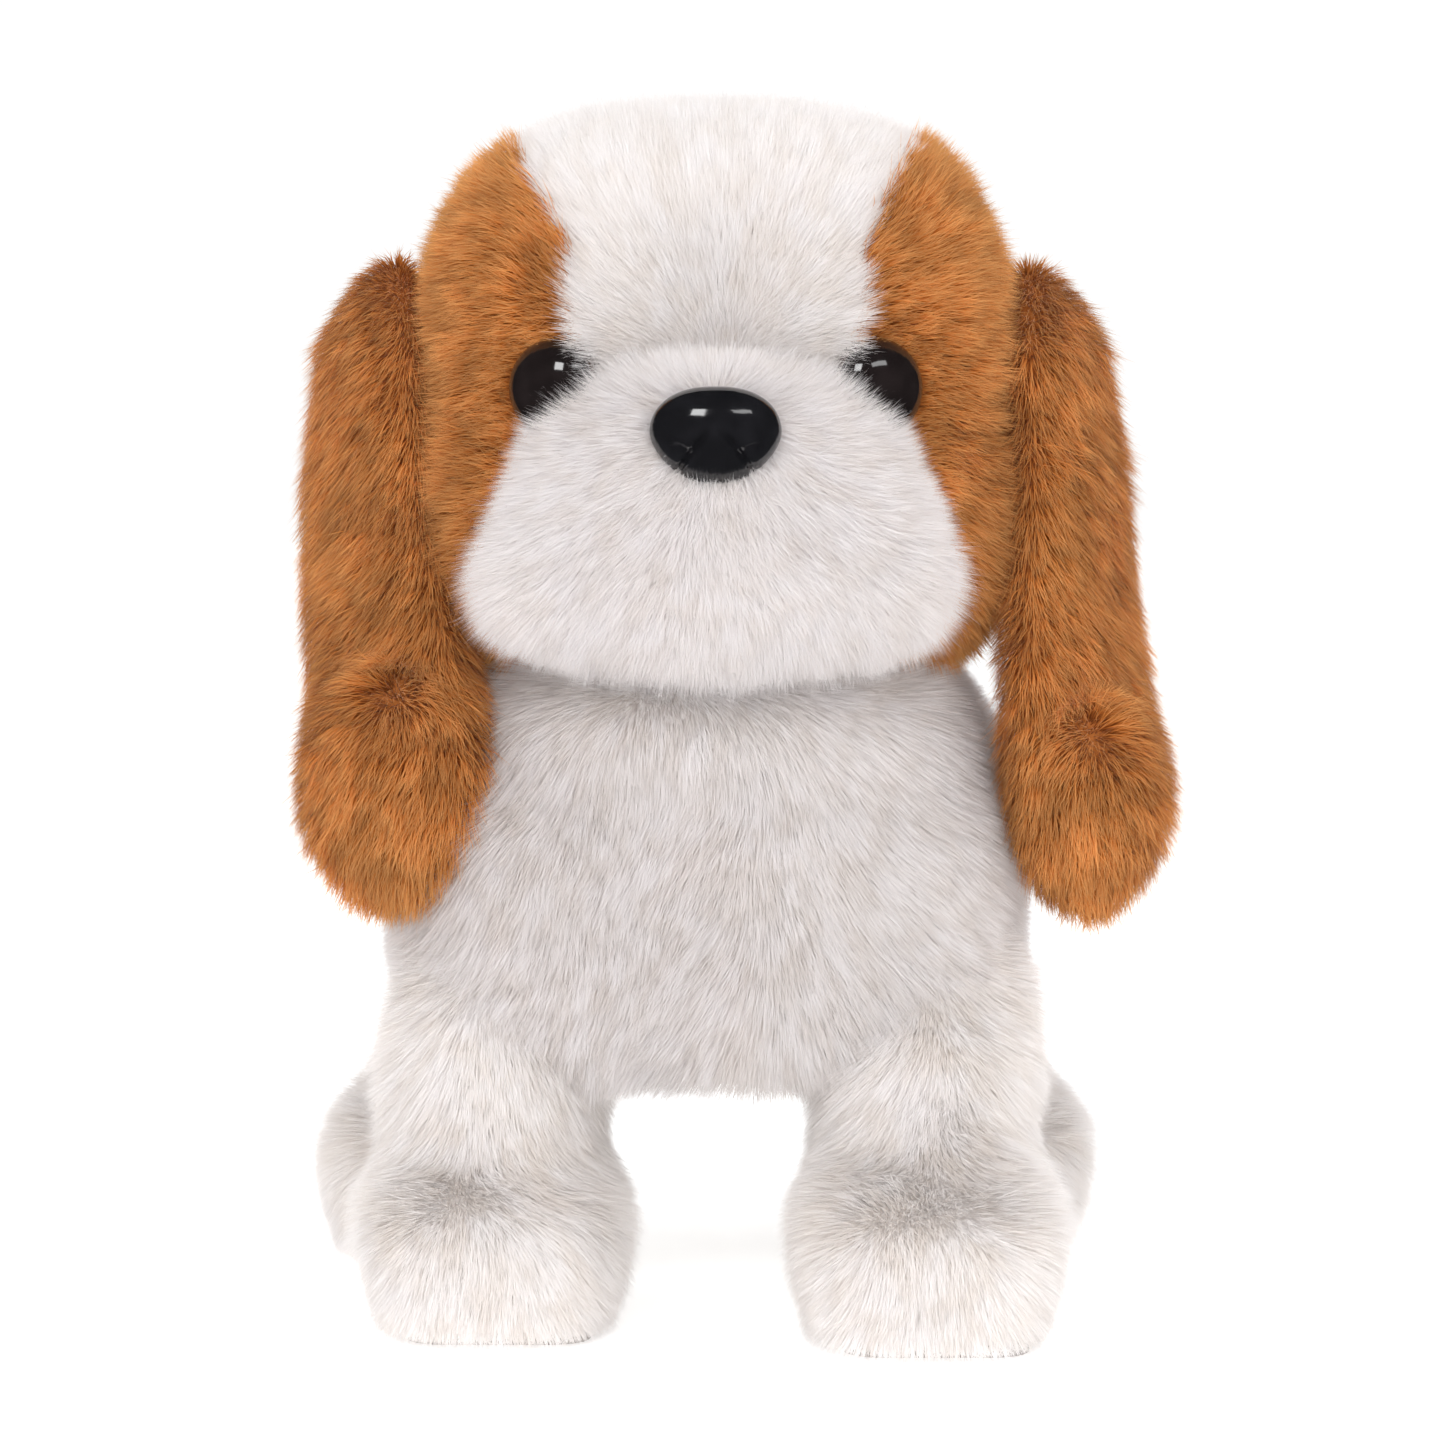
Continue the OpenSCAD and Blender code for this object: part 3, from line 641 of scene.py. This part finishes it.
blaze = plush("head_blaze", head_form, head_net, head_part(0), head_comb, face_length(5.2, 1.3), 24,
              CROWN_PILE_PAINTED_LIGHTER, WHITE_BACKING, "head", "white_plush",
              bald=either(in_eye, inside(muzzle_form, 3)), seed=11, lean=face_lean(0.78),
              clump=0.04, wave=0.13, stray=0.14, steps=1, width=0.13)
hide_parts("head_blaze_plush")
for side, word in ((1, "left"), (-1, "right")):
    panel = plush(f"head_side_{word}", head_form, head_net, head_part(side), head_comb,
                  face_length(6.0, 0.6), 10, BROWN_PILE, BROWN_BACKING_PAINTED_SHADE, "head", "brown_plush",
                  bald=either(in_eye, inside(muzzle_form, 3)), seed=12 + side, lean=0.5, clump=0.25,
                  wave=0.34, stray=0.2)
    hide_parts(f"head_side_plush_{word}")
muzzle = plush("muzzle", muzzle_form, muzzle_net, None, muzzle_comb, muzzle_length, 26,
               WHITE_PILE, WHITE_BACKING, "head", "white_plush",
               bald=either(in_nose, inside(head_form, 3)), seed=21,
               lean=face_lean(0.72), clump=0.09, wave=0.26, stray=0.2, steps=1, width=0.12)
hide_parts("muzzle_plush")


# ---------------------------------------------------------------- ears
def ear_form(side, spine, lobe):
    """A stuffed flap on a spine of rows from its seam to its hem, with a rounder lobe at the hem.

    Each row is height, x, y, half width, half thickness, and turn towards the front in degrees."""
    rows = np.array(spine, float)
    z = rows[::-1, 0]

    def f(p):
        at = [np.interp(p[:, 2], z, rows[::-1, i]) for i in range(1, 6)]
        x, y, wide, thick, turn = at
        dx, dy = side * p[:, 0] - x, p[:, 1] - y
        a = np.radians(turn)
        u = dx * np.sin(a) + dy * np.cos(a)
        v = dx * np.cos(a) - dy * np.sin(a)
        top, low = rows[0, 0], rows[-1, 0]
        end = np.clip((p[:, 2] - (top + low) / 2) / ((top - low) / 2), -1.6, 1.6)
        k = np.sqrt((u / wide) ** 2 + (v / thick) ** 2 + np.abs(end) ** 9)
        return (k - 1) * thick

    return merge(7, f, egg(*lobe))


ear_left_form = ear_form(
    1,
    [(162, 49, -28, 9, 5.5, 16), (150, 51.5, -30, 13, 6, 20), (130, 54, -32, 15, 5.5, 24),
     (104, 55, -37, 16, 6.0, 30), (86, 56.5, -40, 15, 7, 32), (68, 57, -41, 10, 6.5, 32)],
    [(57.5, -42, 82), (9.5, 11, 13)])
ear_right_form = ear_form(
    -1,
    [(163, 50, -28, 9, 5.5, 18), (150, 52, -30, 13, 6.5, 24), (130, 53, -33, 16, 6, 30),
     (106, 50.5, -40, 17, 6.5, 36), (90, 49, -45, 15, 8, 40), (70, 49, -46, 11, 7.5, 40)],
    [(-48, -48, 84), (12.5, 10.5, 15)])


def ear_comb(side, whorl):
    """Down the flap, parting round a whorl above the hem."""
    centre = np.array(whorl, float)

    def f(p, n):
        away = p - centre
        near = ease(-np.linalg.norm(away, axis=-1, keepdims=True), -13, -3)
        down = np.array([0.22 * side, 0, -1.0]) + 0.3 * wander(p, 20, 5)
        return down * (1 - 0.6 * near) + 0.7 * unit(away) * near

    return f


def ear_length(p):
    """Short where the ear is sewn to the head."""
    return 6.0 - 2.8 * ease(p[:, 2], 150, 165)


EARS = (
    (1, "left", ear_left_form, (58, -54, 92)),
    (-1, "right", ear_right_form, (-50, -58, 98)),
)
for side, word, form, whorl in EARS:
    near, far = sorted((side * 28, side * 78))
    net = surface(form, (near, -70, 56), (far, 4, 176))
    piece = plush(f"ear_{word}_flap", form, net, None, ear_comb(side, whorl), ear_length, 9,
                  BROWN_PILE, BROWN_BACKING_PAINTED_SHADE, f"ear_{word}", "brown_plush", seed=31 + side, lean=0.85,
                  clump=0.22, wave=0.3, stray=0.16)
    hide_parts(f"ear_{word}")


# ---------------------------------------------------------------- torso, legs and tail
torso_form = above(
    merge(
        10,
        egg((-1.5, -30, 63), (45.5, 31, 28), 3.0),
        egg((0, -30, 84), (36, 29, 21), 2.6),
        egg((-1, 2, 70), (44, 38, 32), 2.8),
        egg((-1, 31, 70), (44.5, 30, 34), 2.6),
        egg((0, -38, 95), (28, 25, 13)),
    ), 40)


def leg_form(side, fore):
    """A stuffed leg: a thigh tucked under the torso, a shank, and a wide paw with a flat bottom."""
    word = f"{'front' if fore else 'hind'}_{'left' if side > 0 else 'right'}"
    sole = node_middle(f"sole_{word}")
    # the puppy leans a little to its right
    x, y = sole[0] + (-1 if fore else 1.5 * side - 1.5), sole[1]
    wide = 15 if fore else 17
    hip_y = node_middle("front_axle" if fore else "rear_axle")[1] + (6 if fore else 0)
    hip = egg((side * 33, hip_y, 50), (12, 13, 14), 2.2)
    knee_x = x if fore else side * 37
    shank = limb((knee_x, hip_y + (y - hip_y) * 0.4, 36), (x, y, 16), 14 if fore else 12, wide - 1)
    paw = egg((x, y - 0.5, 9.5), (wide, 18.5, 11), 3.4)
    return word, above(merge(14, hip, shank, paw), 2.2, 0.8)


legs = [leg_form(s, fore) for fore in (True, False) for s in (1, -1)]
HEM = 40.4                               # height of the torso's hem: no pile grows below it
SOLE_HEM = 2.4                           # height of the seam round a sole


def torso_comb(p, n):
    """Back and down from the chest, with the whorls of a brushed coat."""
    chest = ease(-p[:, 1], 20, 50)[:, None]
    return np.array([0, 0.75, -0.55]) * (1 - chest) + chest * (
        np.array([0, 0.0, -0.75]) + p * np.array([0.012, 0, 0])) + 0.45 * wander(p, 26, 9)


def leg_comb(p, n):
    """Down the leg, a little swirled."""
    return np.array([0, 0.1, -1.0]) + 0.3 * wander(p, 20, 4)


def leg_length(p):
    """Long on the thigh, trimmed short at the hem of the paw."""
    return 4.5 + 2.0 * ease(p[:, 2], 4, 26)


# the chest is sewn to the chin
NECK = ("torso", "head", (0, -20, 86), (0, -34, 106))
torso_net = surface(torso_form, (-52, -66, 36), (52, 68, 112))
torso = plush("torso", torso_form, torso_net, None, torso_comb, 6.2, 18, CHEST_PILE_PAINTED_SHADE, WHITE_BACKING, NECK,
              "white_plush",
              bald=either(lambda p: p[:, 2] < HEM, inside(head_form, 4), inside(muzzle_form, 3)),
              seed=41, lean=0.76, clump=0.05, wave=0.24, steps=1, width=0.15)
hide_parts("torso_plush")
for word, form in legs:
    x, y = node_middle(f"sole_{word}")[:2]
    net = surface(form, (x - 28, y - 30, 0), (x + 28, y + 32, 80))
    piece = plush(f"leg_{word}_sleeve", form, net, None, leg_comb, leg_length, 18, LEG_PILE_PAINTED_LIGHTER,
                  WHITE_BACKING, ("torso", f"leg_{word}", (x, y, 62), (x, y, 30)), "white_plush",
                  bald=either(lambda p: p[:, 2] < SOLE_HEM, inside(torso_form, 5)), seed=51, lean=0.76,
                  clump=0.05, wave=0.26, steps=1, width=0.16)
    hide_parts(f"leg_plush_{word}")
tail_tip = node_box("tail_plush")[1] - 7
tail_form = merge(
    6,
    limb((0, 56, 84), (0, 74, 98), 8, 6.5),
    limb((0, 74, 98), (0, tail_tip[1], tail_tip[2]), 6.5, 5),
)
tail_net = surface(tail_form, (-14, 44, 70), (14, 96, 120))
tail = plush("tail_sleeve", tail_form, tail_net, None, lambda p, n: np.array([0, 0.7, 0.7]) + 0 * p,
             6.5, 14, CHEST_PILE_PAINTED_SHADE, WHITE_BACKING, ("torso", "tail", (0, 54, 82), (0, 68, 92)), "white_plush",
             bald=inside(torso_form, 3), seed=61, lean=0.65, clump=0.1, wave=0.25, steps=1)
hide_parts("tail_plush")


# ---------------------------------------------------------------- eyes and nose
def lathe(profile, segments=64):
    """Vertices and quads turned round the -Y axis: profile rows are (radius, how far forward)."""
    rows = np.array(profile, float)
    a = np.linspace(0, 2 * math.pi, segments, endpoint=False)
    ring = np.stack([np.cos(a), np.zeros(segments), np.sin(a)], -1)
    v = (rows[:, None, 0:1] * ring[None] + rows[:, None, 1:2] * np.array([0, -1, 0])).reshape(-1, 3)
    faces = []
    j = np.arange(segments)
    k = (j + 1) % segments
    for i in range(len(rows) - 1):
        low, high = i * segments, (i + 1) * segments
        faces.append(np.stack([low + j, low + k, high + k, high + j], -1))
    return v, np.concatenate(faces)


def gloss_material(name, colour, rough, pits=0.0):
    """Polished black or brown moulding, with pits or not."""

    def build(nt, shader, out):
        tint = ramp(nt, noise(nt, 300).outputs["Fac"],
                    [(0.4, colour), (0.7, tuple(c * 1.5 for c in colour))])
        nt.links.new(tint.outputs["Color"], shader.inputs["Base Color"])
        shader.inputs["Roughness"].default_value = rough
        shader.inputs["Specular IOR Level"].default_value = 0.5
        bump = add(nt, "ShaderNodeBump", Strength=0.12 + pits, Distance=0.0002)
        nt.links.new(noise(nt, 260, 2).outputs["Fac"], bump.inputs["Height"])
        nt.links.new(bump.outputs["Normal"], shader.inputs["Normal"])

    return material(name, build)


EYE_BLACK = gloss_material("eye_gloss", (0.008, 0.006, 0.006), 0.08)
EYE_BROWN = gloss_material("iris_gloss", (0.03, 0.012, 0.005), 0.12)
NOSE_BLACK = gloss_material("nose_gloss", (0.006, 0.006, 0.007), 0.10, 0.15)

EYE_SEAT = (23.5, -62)                   # mm from the middle, and y of the eye's seat
EYE_YAW = 22                             # degrees that each eye looks outwards
DOME = 5.8                               # mm that the dome stands out
for side, word in ((1, "left"), (-1, "right")):
    lo, hi = node_box(f"eye_{word}")
    radius = (hi[2] - lo[2]) / 2
    yaw = math.radians(EYE_YAW) * side
    base = np.array([side * EYE_SEAT[0], EYE_SEAT[1], lo[2] + radius])
    turn = np.array([[math.cos(yaw), -math.sin(yaw), 0], [math.sin(yaw), math.cos(yaw), 0], [0, 0, 1]])
    angles = np.radians(np.arange(0, 90, 6))
    dome = list(zip(radius * np.cos(angles), DOME * np.sin(angles)))
    back = [(0.01, -1.2), (radius - 1.2, -1.2), (radius - 0.2, -0.8)]
    v, f = lathe(back + dome + [(0.05, DOME)])
    eye = new_mesh(f"eye_{word}_dome", v @ turn.T + base, f)
    eye.data.materials.append(EYE_BLACK)
    eye.data.materials.append(EYE_BROWN)
    forward = (v @ np.array([0, -1, 0]))[f].mean(1)
    rim = ((forward > 0.2) & (forward < 2.3)).astype(np.int32)
    eye.data.polygons.foreach_set("material_index", rim)
    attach(eye, "head")
    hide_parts(f"eye_{word}")


def nose_form(p):
    """A wide oval with two folds from its middle and two shallow nostrils."""
    q = p - NOSE
    lower = ease(-q[:, 2], -1, 7)
    wide = 9.6 - 2.0 * lower
    deep = 5.6
    k = np.abs(q[:, 0] / wide) ** 2.3 + np.abs(q[:, 2] / 7.1) ** 2.3 + np.abs(q[:, 1] / deep) ** 2.0
    d = (k ** (1 / 2.15) - 1) * deep
    for s in (-1, 1):
        across = q[:, 0] - s * 5.0
        nostril = np.hypot(across / 2.6, (q[:, 2] + 2.2 - 0.35 * s * across) / 1.5)
        d = d + 0.6 * (1 - ease(nostril, 0.3, 1.15)) * (q[:, 1] < 0)
        # folds that run down and out from the middle
        fold = np.abs(q[:, 0] - s * (0.5 - 0.75 * np.minimum(q[:, 2] - 1.5, 0)))
        d = d + 0.7 * (1 - ease(fold, 0.15, 0.9)) * ease(-q[:, 2], -1.5, 0.5) * (q[:, 1] < 0)
    return d


v, f = surface(nose_form, NOSE - 12, NOSE + 12, 0.45)
nose = new_mesh("nose_moulding", v, f)
nose.data.materials.append(NOSE_BLACK)
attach(nose, "head")
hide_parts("nose")

# ---------------------------------------------------------------- hard parts
HARD = {
    "white_plastic": hard_material("white_plastic", (0.80, 0.79, 0.76), 0.45),
    "case_plastic": hard_material("case_plastic", (0.74, 0.72, 0.68), 0.5, 2200, strength=0.3),
    "link_plastic": hard_material("link_plastic", (0.78, 0.78, 0.76), 0.35),
    "gear_nylon": hard_material("gear_nylon", (0.84, 0.83, 0.77), 0.4),
    "sole_plastic": hard_material("sole_plastic", (0.09, 0.05, 0.03), 0.6, 1800, strength=0.4),
    "steel": hard_material("steel", (0.62, 0.62, 0.63), 0.3, 3000, metallic=1.0),
    "motor_can": hard_material("motor_can", (0.66, 0.67, 0.68), 0.28, 3000, metallic=1.0),
    "cell": hard_material("cell_wrap", (0.03, 0.10, 0.05), 0.3, coat=0.3),
    "brass": hard_material("brass", (0.78, 0.58, 0.25), 0.3, 3000, metallic=1.0),
    "board": hard_material("board", (0.02, 0.16, 0.06), 0.4, 900, strength=0.5),
    "black_plastic": hard_material("black_plastic", (0.03, 0.03, 0.03), 0.5, 2200),
    "eye_black": EYE_BLACK,
    "nose_black": NOSE_BLACK,
}
slot_of = {row["node"]: row["material_slot"] for row in frame["record"]["subparts"]}
for node, slot in slot_of.items():
    obj = bpy.data.objects.get(node)
    if slot in HARD and obj and obj.type == "MESH":
        obj.data.materials.clear()
        obj.data.materials.append(HARD[slot])


# ---------------------------------------------------------------- studio
def area_light(name, place, aim, size, power, glossy=True):
    """A rectangular lamp. One that isn't glossy leaves no highlight on the eyes and nose."""
    data = bpy.data.lights.new(name, "AREA")
    data.shape = "RECTANGLE"
    data.size, data.size_y = size
    data.energy = power
    lamp = bpy.data.objects.new(name, data)
    lamp.visible_glossy = glossy
    bpy.context.scene.collection.objects.link(lamp)
    point_at(lamp, place, aim)


def point_at(obj, place, aim):
    """Put a lamp or the camera at a place and aim it."""
    obj.location = place
    obj.rotation_euler = (Vector(aim) - Vector(place)).to_track_quat("-Z", "Y").to_euler()


world = bpy.data.worlds.new("studio")
bpy.context.scene.world = world
world.use_nodes = True
world.node_tree.nodes["Background"].inputs["Color"].default_value = (1.0, 1.0, 1.0, 1)
# the ceiling is dimmer than the walls
sky = world.node_tree
height = sky.nodes.new("ShaderNodeSeparateXYZ")
sky.links.new(sky.nodes.new("ShaderNodeTexCoord").outputs["Generated"], height.inputs["Vector"])
dimming = sky.nodes.new("ShaderNodeMapRange")
dimming.inputs["From Min"].default_value = 0.35
dimming.inputs["From Max"].default_value = 0.95
dimming.inputs["To Min"].default_value = 1.02
dimming.inputs["To Max"].default_value = 0.62
sky.links.new(height.outputs["Z"], dimming.inputs["Value"])
sky.links.new(dimming.outputs["Result"], sky.nodes["Background"].inputs["Strength"])
world.cycles_visibility.glossy = False
area_light("key", (-0.30, -0.95, 0.95), (0, -0.02, 0.1), (0.33, 0.33), 5)
area_light("second", (0.48, -0.75, 0.95), (0, -0.02, 0.1), (0.55, 0.18), 2)
area_light("front", (0.1, -1.3, 0.12), (0, 0, 0.07), (1.0, 0.5), 6.5, glossy=False)
area_light("side_left", (-1.0, -0.2, 0.4), (0, 0, 0.1), (0.6, 0.6), 2, glossy=False)
area_light("side_right", (1.0, -0.2, 0.4), (0, 0, 0.1), (0.6, 0.6), 2, glossy=False)

HALF_FLOOR = 4000                        # mm from the middle of the paper to its edge
floor_verts = np.array([(-1, -1, 0), (1, -1, 0), (1, 1, 0), (-1, 1, 0)], float) * HALF_FLOOR
floor = new_mesh("floor", floor_verts, np.array([[0, 1, 2, 3]]), smooth=False)
paper = hard_material("floor_paper", (0.90, 0.90, 0.90), 0.8, 400, strength=0.05, spread=0.01)
paper.node_tree.nodes["Principled BSDF"].inputs["Emission Color"].default_value = (1, 1, 1, 1)
paper.node_tree.nodes["Principled BSDF"].inputs["Emission Strength"].default_value = 0.5
floor.data.materials.append(paper)
floor.visible_glossy = False

camera = bpy.data.objects.new("camera", bpy.data.cameras.new("camera"))
bpy.context.scene.collection.objects.link(camera)
camera.data.sensor_width = 36
camera.data.lens = 123.2
camera.data.clip_start = 0.01
point_at(camera, (0.001, -0.8, 0.143), (0.001, 0, 0.090))
bpy.context.scene.camera = camera
bpy.context.scene.view_settings.view_transform = "Standard"
